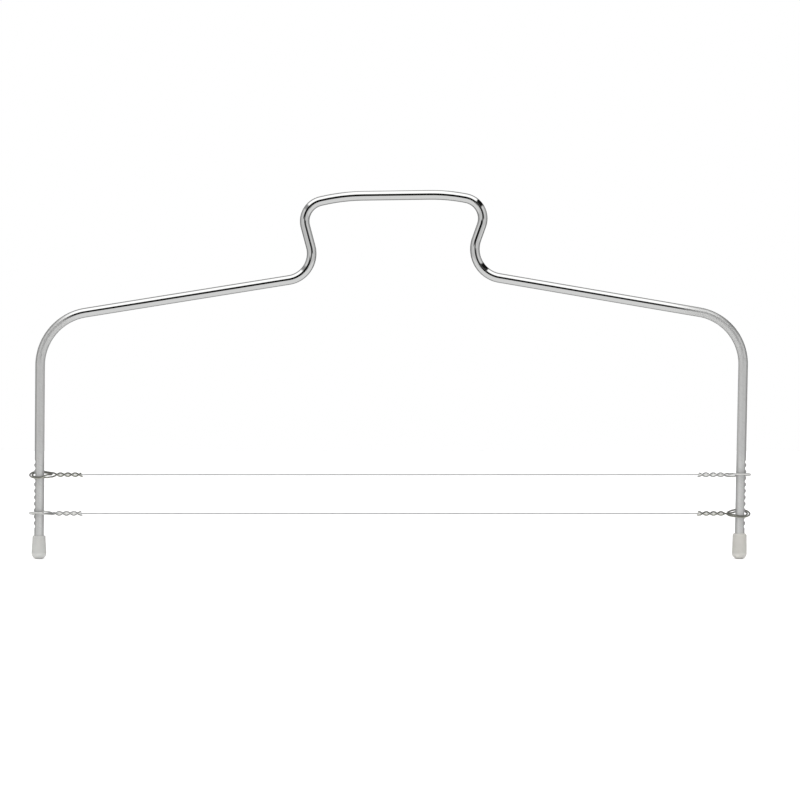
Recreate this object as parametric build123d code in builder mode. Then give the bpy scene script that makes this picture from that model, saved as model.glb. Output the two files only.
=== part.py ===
from build123d import *
from math import cos, pi, radians, sin, sqrt, tan
import os

os.makedirs("parts", exist_ok=True)

# Double-wire cake leveler: a bent, chromed rod with a raised grip, a plastic cap on each foot,
# and two taut cutting wires whose end loops go round the notched legs.
# Millimetres. X runs along the cutting wires, Z up the legs, Y is the cutting direction.
# The origin is on the table, midway between the feet.

# Frame rod
rod_diameter = 4.5
leg_spacing = 330.4  # between the leg axes, at the middle notch
left_leg_lean = 0.37  # degrees, the top leans inwards
right_leg_lean = 1.18  # degrees, the top leans outwards
rod_end_height = 2.8
rod_end_chamfer = 0.5

# Bends of the rod: the corner points of its axis, and the inner radii that the bender leaves
shoulder_height = 112.7
left_shoulder_rise = 21.0
right_shoulder_rise = 22.5
neck_rise = 32.7
left_crown_rise = 4.6
right_crown_rise = 3.8
neck_width = 69.0
neck_shift = 0.8
grip_width = 89.4
grip_shift = 2.3
crown_width_share = 0.553  # of grip_width
left_shoulder_bend = 25.3
right_shoulder_bend = 24.7
left_neck_bend = 12.6
right_neck_bend = 13.8
grip_bend = 9.7
crown_bend_share = 0.93  # of the largest bend that the slope beside it leaves room for

# Notches pressed into the outer side of each leg
notch_count = 11
notch_pitch = 3.04
lowest_notch_height = 15.4
notch_depth = 0.5
land_height = 0.25  # how far the pressed metal stands out between two notches
land_inset = 1.2  # from the leg's axis to the axis of the swollen stretch
lower_wire_notch = 2  # counted from the lowest, which is 0
upper_wire_notch = 8

# Foot caps
left_cap_height = 11.0
right_cap_height = 12.1
left_cap_mouth_diameter = 6.0
right_cap_mouth_diameter = 6.5
left_cap_mouth_round = 0.25
right_cap_mouth_round = 0.85
cap_belly_diameter = 6.9
cap_belly_height = 3.2
cap_base_round = 2.0
cap_fit_clearance = 0.03
cap_base_trim = 0.2  # sliced off level with the table

# Cutting wires
cutting_wire_diameter = 0.45

# End loops: one stiff wire each, twice round the leg, its two ends twisted together
loop_wire_diameter = 0.75
loop_wire_gap = 0.43  # between the two turns that lie side by side
twist_core_clearance = 0.04  # between the twisted strands and the cutting wire inside
twist_length = 12.6
twist_pitch = 6.9
twist_stagger = 0.5  # how much shorter one cut end is
throat_reach = 7.8  # from the leg's axis to where the twist begins
eye_centre_shift = 0.3  # outwards from the leg's axis
eye_side_clearance = 0.38
entry_reach = 4.1  # where the first strand passes under the crossing
entry_side = 1.83
crossing_lift = 0.62  # each strand's rise or dip from the loop's plane
crossing_reach = 3.8
crossing_side = 2.25
crossing_slope = 2.45
return_reach = 3.9  # where the first turn closes behind the leg
return_lift_share = 0.33
exit_reach = 4.65  # where the second turn leaves for the twist
exit_side = 2.72
wire_end_setback = 0.5  # the cutting wire stops this far outside the twist
upper_left_tilt = 21.0  # degrees about X, positive lowers the front strand
upper_right_tilt = -7.0
lower_left_tilt = -8.0
lower_right_tilt = 23.0

overrun = 1.0  # how far a cutter passes the surface that it cuts

# Sizes that follow from the ones above
rod_radius = rod_diameter / 2
notch_span = notch_pitch * (notch_count - 1)
middle_notch_height = lowest_notch_height + notch_span / 2
lower_wire_height = lowest_notch_height + notch_pitch * lower_wire_notch
upper_wire_height = lowest_notch_height + notch_pitch * upper_wire_notch
left, right = -1, 1


def leg_axis(side, height):
    """The X place of a leg's axis at a height above the table."""
    lean = -left_leg_lean if side == left else right_leg_lean
    return side * (leg_spacing / 2 + (height - middle_notch_height) * tan(radians(lean)))


def leg_plane(side, height):
    """A plane on the leg's axis: its x points outwards, its y up along the leg."""
    foot = Vector(leg_axis(side, 0), 0, 0)
    place = Vector(leg_axis(side, height), 0, height)
    outwards = Vector(side, 0, 0)
    up = (Vector(leg_axis(side, shoulder_height), 0, shoulder_height) - foot).normalized()
    return Plane(origin=place, x_dir=outwards - up * outwards.dot(up), z_dir=outwards.cross(up))


# Frame rod: one round bar bent in a flat plane
neck_left_height = shoulder_height + left_shoulder_rise
neck_right_height = shoulder_height + right_shoulder_rise
grip_left_height = neck_left_height + neck_rise
grip_right_height = neck_right_height + neck_rise
crown_width = grip_width * crown_width_share
crown_left_height = grip_left_height + left_crown_rise
crown_right_height = grip_right_height + right_crown_rise
rod_corners = [
    (leg_axis(left, rod_end_height), rod_end_height),
    (leg_axis(left, shoulder_height), shoulder_height),
    (neck_shift - neck_width / 2, neck_left_height),
    (grip_shift - grip_width / 2, grip_left_height),
    (grip_shift - crown_width / 2, crown_left_height),
    (grip_shift + crown_width / 2, crown_right_height),
    (grip_shift + grip_width / 2, grip_right_height),
    (neck_shift + neck_width / 2, neck_right_height),
    (leg_axis(right, shoulder_height), shoulder_height),
    (leg_axis(right, rod_end_height), rod_end_height),
]


def half_turn(before, corner, after):
    """Half the angle, in radians, by which the rod turns at a corner of its axis."""
    arriving = Vector(*corner) - Vector(*before)
    leaving = Vector(*after) - Vector(*corner)
    return radians(arriving.get_angle(leaving)) / 2


def crown_bend(neck, grip, crown, other_crown):
    """The bend radius at a crown corner: a share of what the slope beside it leaves room for."""
    slope = (Vector(*crown) - Vector(*grip)).length
    room = slope - grip_bend * tan(half_turn(neck, grip, crown))
    return crown_bend_share * room / tan(half_turn(grip, crown, other_crown))


rod_bends = [
    left_shoulder_bend,
    left_neck_bend,
    grip_bend,
    crown_bend(*rod_corners[2:6]),
    crown_bend(*reversed(rod_corners[4:8])),
    grip_bend,
    right_neck_bend,
    right_shoulder_bend,
]

with BuildLine(Plane.XZ) as rod_line:
    FilletPolyline(*rod_corners, radius=rod_bends)
leg_runs = rod_line.edges().sort_by(Axis.Z)[:2].sort_by(Axis.X)
bent_runs = rod_line.edges().sort_by(Axis.Z)[2:]
leg_lengths = {left: leg_runs[0].length, right: leg_runs[1].length}

# The wavy line of a leg's notched side, in the leg's own plane
wave_inflection = rod_radius + (land_height - notch_depth) / 2
notch_radius = (notch_pitch**2 / 16 + (land_height + notch_depth) ** 2 / 4) / (
    land_height + notch_depth
)
notch_half_mouth = sqrt(2 * notch_radius * notch_depth - notch_depth**2)
wave_outside = rod_radius + land_height + overrun


def notched_side():
    """Draw the waste outside a leg's notches: grooves and rounded lands, one arc each."""
    bottom = rod_radius - notch_depth
    crest = rod_radius + land_height
    first = (rod_radius, -notch_half_mouth)
    start = first
    for index in range(notch_count):
        centre = index * notch_pitch
        last = index == notch_count - 1
        end = (
            (rod_radius, centre + notch_half_mouth)
            if last
            else (wave_inflection, centre + notch_pitch / 4)
        )
        ThreePointArc(start, (bottom, centre), end)
        if not last:
            next_start = (wave_inflection, centre + notch_pitch * 3 / 4)
            ThreePointArc(end, (crest, centre + notch_pitch / 2), next_start)
            start = next_start
    Polyline(
        end,
        (wave_outside, notch_span + notch_half_mouth),
        (wave_outside, -notch_half_mouth),
        first,
    )


with BuildPart() as frame_rod:
    for side in (left, right):
        foot = leg_plane(side, rod_end_height)
        lowest_notch = leg_plane(side, lowest_notch_height)
        with BuildSketch(Plane(origin=foot.origin, z_dir=foot.y_dir)):
            Circle(rod_radius)
        extrude(amount=leg_lengths[side])
        land_axis = lowest_notch.from_local_coords((land_inset, 0, 0))
        with BuildSketch(Plane(origin=land_axis, z_dir=lowest_notch.y_dir)):
            Circle(rod_radius + land_height - land_inset)
        extrude(amount=notch_span)
        with BuildSketch(lowest_notch):
            with BuildLine():
                notched_side()
            make_face()
        extrude(amount=rod_radius + overrun, both=True, mode=Mode.SUBTRACT)
    chamfer(faces().sort_by(Axis.Z)[:2].edges(), length=rod_end_chamfer)
    with BuildLine() as bent_line:
        add(bent_runs)
    with BuildSketch(Plane(origin=bent_line.line @ 0, z_dir=bent_line.line % 0)):
        Circle(rod_radius)
    sweep()
frame_rod.part.label = "frame_rod"
export_step(frame_rod.part, "parts/frame_rod.step")


# Foot caps: soft plastic thimbles pushed over the rod's ends
base_top = cap_base_round - cap_base_trim


def foot_cap_side(cap_height, mouth, mouth_round):
    """Draw half of a cap's section, from its axis outwards, in the leg's plane."""
    belly = cap_belly_diameter / 2
    bore = rod_radius + cap_fit_clearance
    floor = rod_end_height - cap_fit_clearance
    lip = (mouth - mouth_round, cap_height)
    flat_edge = (belly - cap_base_round, -cap_base_trim)
    Polyline((0, floor), (bore, floor), (bore, cap_height), lip)
    RadiusArc(lip, (mouth, cap_height - mouth_round), mouth_round)
    Polyline((mouth, cap_height - mouth_round), (belly, cap_belly_height), (belly, base_top))
    RadiusArc((belly, base_top), flat_edge, cap_base_round)
    Polyline(flat_edge, (0, -cap_base_trim), (0, floor))


foot_caps = {
    "left_foot_cap": (left, left_cap_height, left_cap_mouth_diameter, left_cap_mouth_round),
    "right_foot_cap": (right, right_cap_height, right_cap_mouth_diameter, right_cap_mouth_round),
}
for name, (side, cap_height, mouth_diameter, mouth_round) in foot_caps.items():
    foot = leg_plane(side, 0)
    with BuildPart() as foot_cap:
        with BuildSketch(foot):
            with BuildLine():
                foot_cap_side(cap_height, mouth_diameter / 2, mouth_round)
            make_face()
        revolve(axis=Axis(foot.origin, foot.y_dir))
        split(bisect_by=Plane.XY)
    foot_cap.part.label = name
    export_step(foot_cap.part, f"parts/{name}.step")

# Cutting wires: straight and taut, each ending in the twists of its two loops
wire_end_reach = throat_reach + wire_end_setback
cutting_wires = {
    "upper_cutting_wire": upper_wire_height,
    "lower_cutting_wire": lower_wire_height,
}
for name, height in cutting_wires.items():
    start = leg_axis(left, height) + wire_end_reach
    end = leg_axis(right, height) - wire_end_reach
    with BuildPart() as cutting_wire:
        with BuildSketch(Plane(origin=(start, 0, height), z_dir=(1, 0, 0))):
            Circle(cutting_wire_diameter / 2)
        extrude(amount=end - start)
    cutting_wire.part.label = name
    export_step(cutting_wire.part, f"parts/{name}.step")

# End loops. In a loop's own axes x points along the cutting wire towards the leg, from the
# leg's axis, y lies across the loop in its plane, and z stands on the loop.
twist_radius = (cutting_wire_diameter + loop_wire_diameter) / 2 + twist_core_clearance
inner_turn = rod_radius + loop_wire_diameter / 2 + eye_side_clearance
outer_turn = inner_turn + loop_wire_diameter + loop_wire_gap
return_lift = crossing_lift * return_lift_share
entry_slope = (inner_turn - twist_radius) / throat_reach
exit_slope = (outer_turn - twist_radius) / throat_reach


def twist_strand(turn_share, length):
    """Stations of one twisted strand, from the throat to its cut end, with headings."""
    stations = []
    steps = max(2, round(4 * length / twist_pitch))
    for step in range(steps + 1):
        along = length * step / steps
        angle = 2 * pi * (along / twist_pitch + turn_share)
        place = Vector(-throat_reach - along, twist_radius * cos(angle), twist_radius * sin(angle))
        rate = 2 * pi * twist_radius / twist_pitch
        heading = Vector(-1, -rate * sin(angle), rate * cos(angle))
        stations.append((place, heading.normalized()))
    return stations


def loop_route():
    """Stations along a whole loop, each a place and a heading, in the loop's own axes."""
    centre = eye_centre_shift
    first_end = twist_strand(0, twist_length)
    second_end = twist_strand(1 / 2, twist_length - twist_stagger)
    inward = [(place, heading * -1) for place, heading in reversed(first_end)]
    eye = [
        (Vector(-entry_reach, entry_side, -crossing_lift), Vector(1, entry_slope, 0)),
        (Vector(centre, inner_turn, 0), Vector(1, 0, 0)),
        (Vector(centre + inner_turn, 0, 0), Vector(0, -1, 0)),
        (Vector(centre, -inner_turn, 0), Vector(-1, 0, 0)),
        (Vector(-return_reach, 0, return_lift), Vector(0, 1, return_lift / return_reach)),
        (Vector(-crossing_reach, crossing_side, crossing_lift), Vector(1, crossing_slope, 0)),
        (Vector(centre, outer_turn, 0), Vector(1, 0, 0)),
        (Vector(centre + outer_turn, 0, 0), Vector(0, -1, 0)),
        (Vector(centre, -outer_turn, 0), Vector(-1, 0, 0)),
        (Vector(-exit_reach, -exit_side, 0), Vector(-1, exit_slope, 0)),
    ]
    return inward + [(place, heading.normalized()) for place, heading in eye] + second_end


def placed(route, side, height, tilt):
    """Carry a route to its leg: turned half a turn for the left side, then tilted about X."""
    turned = []
    axis_place = Vector(leg_axis(side, height), 0, height)
    for place, heading in route:
        pair = []
        for local in (place, heading):
            y, z = side * local.Y, local.Z
            across = y * cos(radians(tilt)) - z * sin(radians(tilt))
            above = y * sin(radians(tilt)) + z * cos(radians(tilt))
            pair.append(Vector(side * local.X, across, above))
        turned.append((axis_place + pair[0], pair[1]))
    return turned


def biarc(start, start_heading, end, end_heading):
    """Draw two arcs that leave start and reach end along their headings and share a tangent."""
    chord = end - start
    along = chord.dot(start_heading + end_heading)
    turn = 2 * (1 - start_heading.dot(end_heading))
    reach = (sqrt(along**2 + turn * chord.dot(chord)) - along) / turn
    start_corner = start + start_heading * reach
    end_corner = end - end_heading * reach
    middle = (start_corner + end_corner) * (1 / 2)
    TangentArc(start, middle, tangent=start_heading)
    TangentArc(middle, end, tangent=end_corner - start_corner)


def report_clearance(name, line, solid):
    """Print the wire's length, least bend radius and least gap to itself, on points."""
    samples = []
    passed = 0
    for edge in line.edges():
        count = max(2, round(edge.length / loop_wire_diameter * 4))
        samples += [(passed + edge.length * n / count, edge @ (n / count)) for n in range(count)]
        passed += edge.length
    near = 4 * loop_wire_diameter
    least = min(
        (far_place - place).length
        for index, (length, place) in enumerate(samples)
        for far_length, far_place in samples[index + 1 :]
        if far_length - length > near
    )
    bends = [edge.radius for edge in line.edges() if edge.geom_type == GeomType.CIRCLE]
    section = pi * loop_wire_diameter**2 / 4
    print(name, "length", round(passed, 1), "least bend radius", round(min(bends), 2))
    print("  least gap to itself", round(least - loop_wire_diameter, 3))
    print("  volume over section times length", round(solid.volume / section / passed, 4))


end_loops = {
    "upper_left_loop": (left, upper_wire_height, upper_left_tilt),
    "upper_right_loop": (right, upper_wire_height, upper_right_tilt),
    "lower_left_loop": (left, lower_wire_height, lower_left_tilt),
    "lower_right_loop": (right, lower_wire_height, lower_right_tilt),
}
for name, (side, height, tilt) in end_loops.items():
    route = placed(loop_route(), side, height, tilt)
    with BuildPart() as end_loop:
        with BuildLine() as loop_line:
            for (start, start_heading), (end, end_heading) in zip(route, route[1:]):
                biarc(start, start_heading, end, end_heading)
        with BuildSketch(Plane(origin=loop_line.line @ 0, z_dir=loop_line.line % 0)):
            Circle(loop_wire_diameter / 2)
        sweep()
    end_loop.part.label = name
    export_step(end_loop.part, f"parts/{name}.step")
    report_clearance(name, loop_line.line, end_loop.part)
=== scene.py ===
"""Looks of a double-wire cake leveler: a bent chromed rod with notched legs and plastic foot caps,
two taut cutting wires, and the twisted end loops that hold them. Metres, X along the wires, Z up.
"""

import logging
from dataclasses import dataclass
from enum import Enum
from functools import partial, reduce

import bpy
import numpy as np
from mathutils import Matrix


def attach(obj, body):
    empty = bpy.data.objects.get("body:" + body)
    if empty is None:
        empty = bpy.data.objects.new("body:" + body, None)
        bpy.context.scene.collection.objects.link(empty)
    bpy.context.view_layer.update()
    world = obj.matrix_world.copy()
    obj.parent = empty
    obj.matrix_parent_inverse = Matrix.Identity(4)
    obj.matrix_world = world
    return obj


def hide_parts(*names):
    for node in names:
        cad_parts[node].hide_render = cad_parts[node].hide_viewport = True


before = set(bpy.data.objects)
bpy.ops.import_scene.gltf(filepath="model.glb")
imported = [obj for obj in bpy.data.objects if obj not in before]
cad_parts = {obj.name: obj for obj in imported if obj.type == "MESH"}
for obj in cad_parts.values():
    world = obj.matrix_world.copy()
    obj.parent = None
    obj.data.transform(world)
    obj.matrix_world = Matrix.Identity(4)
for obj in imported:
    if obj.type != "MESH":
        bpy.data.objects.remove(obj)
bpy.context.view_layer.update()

log = logging.getLogger("cake_leveler")
Array = np.ndarray
Socket = bpy.types.NodeSocket
Thing = bpy.types.Object
Material = bpy.types.Material
Colour = tuple[float, float, float]
WHITE: Colour = (1.0, 1.0, 1.0)
ACROSS = np.array([0.0, 1.0, 0.0])
UPRIGHT = np.array([0.0, 0.0, 1.0])
MILLIMETRES = 1000  # in a metre
HALF_TURN = 0.5  # in turns
FLAT_SHARE = 1e-7  # of an arc's chord, below which the arc is drawn as a run
SAME_PLACE = 1e-9  # metres, within which two points are one
PATH_UV = "path"  # around the wire in turns, along it in metres


class Side(Enum):
    """The two legs, by the sign of their X."""

    LEFT = -1
    RIGHT = 1


@dataclass(frozen=True)
class Fade:
    """A smooth change along a measure: nothing at its start, all at its end."""

    start: float
    end: float


@dataclass(frozen=True)
class Grain:
    """A noise pattern: how often it repeats in a unit along each axis, and how fine it is."""

    repeats: tuple[float, float, float]
    detail: float = 3.0
    roughness: float = 0.6


def unit(vectors: Array) -> Array:
    """The vectors at length one, each divided by its own length."""
    return vectors / np.linalg.norm(vectors, axis=-1, keepdims=True)


def smooth_step(values: Array, fade: Fade) -> Array:
    """Zero before the fade, one after it, and 3t² - 2t³ where values are t of the way along."""
    share = np.clip((values - fade.start) / (fade.end - fade.start), 0, 1)
    return share * share * (3 - 2 * share)


def spokes(angles: Array, first: Array, second: Array) -> Array:
    """Directions round a ring: cos(angle) times first plus sin(angle) times second.

    Args:
        angles: The angles round the ring.
        first: The direction of angle zero, one for all rings or one for each.
        second: The direction of a quarter turn, the same way.

    Returns:
        The directions, by ring where there is more than one, by angle, by axis.
    """
    cosines, sines = np.cos(angles)[:, None], np.sin(angles)[:, None]
    return cosines * first[..., None, :] + sines * second[..., None, :]


def full_turn(count: int) -> Array:
    """That many angles, evenly round from zero."""
    return np.linspace(0, 2 * np.pi, count, endpoint=False)


def drawn_in(lengths: Array, whole: float, rounding: float) -> Array:
    """How much a ring is drawn in near an end: by how far it lies within the rounding."""
    return np.maximum(rounding - np.minimum(lengths, whole - lengths), 0)


def soft_minimum(first: Array, second: Array, round_over: float) -> Array:
    """The smaller of two fields, rounded where they cross.

    The plain minimum is lowered by a parabola of the fields' difference, which is a quarter of
    round_over deep where they are equal and ends where they differ by round_over.

    Args:
        first: One field.
        second: The other, of the same shape.
        round_over: The difference at which the rounding ends.

    Returns:
        The blended field.
    """
    blend = np.clip(1 - np.abs(first - second) / round_over, 0, 1)
    return np.minimum(first, second) - blend * blend * round_over / 4


@dataclass(frozen=True)
class Stretch:
    """One stretch of a path: a straight run, or an arc in the plane of its two directions."""

    begin: Array
    heading: Array
    inward: Array
    radius: float
    turn: float
    length: float

    def at(self, lengths: Array) -> tuple[Array, Array]:
        """Points and headings at lengths from the stretch's beginning.

        A run is begin + length times heading. An arc is begin + radius times
        (sin(angle) heading + (1 - cos(angle)) inward), with angle = length over radius.

        Args:
            lengths: Distances along the stretch.

        Returns:
            The points and the unit headings, one row each.
        """
        if self.turn == 0:
            points = self.begin + lengths[:, None] * self.heading
            return points, np.broadcast_to(self.heading, points.shape)
        angles = (lengths / self.radius)[:, None]
        sideways = 1 - np.cos(angles)
        points = self.begin + self.radius * (np.sin(angles) * self.heading + sideways * self.inward)
        return points, np.cos(angles) * self.heading + np.sin(angles) * self.inward


def run_between(begin: Array, end: Array) -> Stretch:
    """A straight stretch.

    Args:
        begin: Where it begins.
        end: Where it ends.

    Returns:
        The stretch.
    """
    chord = end - begin
    length = float(np.linalg.norm(chord))
    return Stretch(begin, chord / length, np.zeros_like(begin), 0.0, 0.0, length)


def arc_between(begin: Array, heading: Array, end: Array) -> Stretch:
    """The arc that leaves begin along heading and ends at end, or a run where it would be flat.

    The chord makes half the arc's turn with the heading, and the radius is half the chord over
    the sine of that half turn.

    Args:
        begin: Where the arc begins.
        heading: Its unit heading there.
        end: Where it ends.

    Returns:
        The stretch.
    """
    chord = end - begin
    along = float(chord @ heading)
    across = chord - along * heading
    offset = float(np.linalg.norm(across))
    if offset < FLAT_SHARE * np.linalg.norm(chord):
        return run_between(begin, end)
    half_turn = float(np.arctan2(offset, along))
    radius = float(np.linalg.norm(chord)) / 2 / np.sin(half_turn)
    turn = 2 * half_turn
    return Stretch(begin, heading, across / offset, radius, turn, radius * turn)


class Route:
    """A line made of runs and arcs, end to end, that gives its points by length."""

    def __init__(self, stretches: list[Stretch]) -> None:
        """Keep the stretches and the length at which each one begins."""
        self.stretches = stretches
        self.starts = np.concatenate([[0.0], np.cumsum([stretch.length for stretch in stretches])])

    @property
    def length(self) -> float:
        """The whole length."""
        return float(self.starts[-1])

    def at(self, lengths: Array) -> tuple[Array, Array]:
        """Points and unit headings at lengths along the route.

        Args:
            lengths: Distances from the route's beginning.

        Returns:
            Two arrays with one row for each length.
        """
        size = len(self.stretches[0].begin)
        points = np.zeros((len(lengths), size))
        headings = np.zeros((len(lengths), size))
        index = np.clip(np.searchsorted(self.starts, lengths, "right") - 1, 0, len(self.stretches) - 1)
        for number, stretch in enumerate(self.stretches):
            chosen = index == number
            local = lengths[chosen] - self.starts[number]
            points[chosen], headings[chosen] = stretch.at(local)
        return points, headings

    def stations(self, run_step: float, turn_step: float) -> Array:
        """Lengths at which to set rings: run_step apart on runs and turn_step apart on arcs.

        Args:
            run_step: The widest step on a run, in metres.
            turn_step: The widest step on an arc, in radians.

        Returns:
            The lengths, rising, with both ends of the route.
        """
        parts = []
        for start, stretch in zip(self.starts, self.stretches):
            extent = stretch.turn / turn_step if stretch.turn else stretch.length / run_step
            count = max(1, int(np.ceil(extent)))
            parts.append(start + stretch.length * np.arange(count) / count)
        return np.concatenate(parts + [[self.length]])


def rounded_route(corners: Array, bends: Array) -> Route:
    """The line through corner points, with each inner corner rounded by an arc of its own radius.

    Each arc begins and ends at radius times the tangent of half the turn from its corner.

    Args:
        corners: The corner points, one row each.
        bends: One radius for each inner corner.

    Returns:
        The route.
    """
    headings = unit(np.diff(corners, axis=0))
    cosines = np.clip(np.sum(headings[:-1] * headings[1:], axis=1), -1, 1)
    reaches = np.asarray(bends) * np.tan(np.arccos(cosines) / 2)
    stretches = []
    begin = corners[0]
    for corner, before, after, reach in zip(corners[1:-1], headings, headings[1:], reaches):
        entry = corner - before * reach
        leave = corner + after * reach
        if np.linalg.norm(entry - begin) > SAME_PLACE:
            stretches.append(run_between(begin, entry))
        stretches.append(arc_between(entry, before, leave))
        begin = leave
    stretches.append(run_between(begin, corners[-1]))
    return Route(stretches)


def biarc_route(places: Array, headings: Array) -> Route:
    """The line through stations with given headings, two tangent arcs from each to the next.

    Both arcs of a pair reach the same distance from their station to the corner of its tangent.
    That distance solves the quadratic that makes the corners lie twice the distance apart.

    Args:
        places: The stations, one row each.
        headings: The unit headings there.

    Returns:
        The route.
    """
    stretches = []
    for start, start_heading, end, end_heading in zip(places, headings, places[1:], headings[1:]):
        chord = end - start
        along = float(chord @ (start_heading + end_heading))
        turn = 2 * (1 - float(start_heading @ end_heading))
        reach = (np.sqrt(along**2 + turn * float(chord @ chord)) - along) / turn
        start_corner = start + start_heading * reach
        end_corner = end - end_heading * reach
        middle = (start_corner + end_corner) / 2
        stretches.append(arc_between(start, start_heading, middle))
        stretches.append(arc_between(middle, unit(end_corner - start_corner), end))
    return Route(stretches)


def in_scene(name: str, data: bpy.types.ID) -> Thing:
    """A new object in the scene.

    Args:
        name: Its name.
        data: Its mesh, camera or light.

    Returns:
        The object.
    """
    thing = bpy.data.objects.new(name, data)
    bpy.context.scene.collection.objects.link(thing)
    return thing


def skin(name: str, rings: Array, along: Array) -> Thing:
    """A closed mesh over rings of points, with a pole at each end and a UV map along the rings.

    Quads join each ring to the next and each point to its neighbour, and triangles join the end
    rings to the poles in their middles. If the volume, a sixth of the sum of the faces' triple
    products, comes out negative, all the faces are turned round.

    Args:
        name: The object's name.
        rings: Points, by ring, by place around it, by axis.
        along: Each ring's length along the piece, for the UV map.

    Returns:
        The object, linked to the scene, with smooth faces.
    """
    count, around = rings.shape[:2]
    points = np.concatenate([rings.reshape(-1, 3), rings[[0, -1]].mean(axis=1)])
    ring, place = (
        axis.ravel()
        for axis in np.meshgrid(np.arange(count - 1), np.arange(around), indexing="ij")
    )
    steps = [(0, 0), (0, 1), (1, 1), (1, 0)]
    quads = np.stack([(ring + up) * around + (place + on) % around for up, on in steps], axis=-1)
    turns = np.stack([place + on for up, on in steps], axis=-1) / around
    lengths = np.stack([along[ring + up] for up, on in steps], axis=-1)
    spoke = np.arange(around)
    next_spoke = (spoke + 1) % around
    last = (count - 1) * around
    pole = np.full(around, count * around)
    first_fan = np.stack([next_spoke, spoke, pole], axis=-1)
    last_fan = np.stack([last + spoke, last + next_spoke, pole + 1], axis=-1)
    fan_turns = np.stack([spoke + 1, spoke, spoke + 0.5], axis=-1) / around
    split = np.concatenate([quads[:, [0, 1, 2]], quads[:, [0, 2, 3]], first_fan, last_fan])
    a, b, c = (points[split[:, corner]] for corner in range(3))
    if np.sum(a * np.cross(b, c)) < 0:
        quads, turns, lengths = quads[:, ::-1], turns[:, ::-1], lengths[:, ::-1]
        first_fan, last_fan = first_fan[:, ::-1], last_fan[:, ::-1]
        fan_turns = fan_turns[:, ::-1]
    mesh = bpy.data.meshes.new(name)
    faces = quads.tolist() + first_fan.tolist() + last_fan.tolist()
    mesh.from_pydata(points.tolist(), [], faces)
    mesh.polygons.foreach_set("use_smooth", np.ones(len(faces), bool))
    flat_turns = np.concatenate([turns.ravel(), fan_turns.ravel(), fan_turns[:, ::-1].ravel()])
    flat_lengths = np.concatenate([lengths.ravel(), np.repeat(along[[0, -1]], 3 * around)])
    layer = mesh.uv_layers.new(name=PATH_UV)
    layer.data.foreach_set("uv", np.stack([flat_turns, flat_lengths], axis=-1).ravel())
    mesh.update()
    return in_scene(name, mesh)


def point_attribute(thing: Thing, name: str, rings: Array) -> None:
    """Write a value for each ring point, and zero for the two poles, as a point attribute."""
    values = np.concatenate([rings.ravel(), [0.0, 0.0]]).astype(np.float32)
    thing.data.attributes.new(name, "FLOAT", "POINT").data.foreach_set("value", values)


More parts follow.
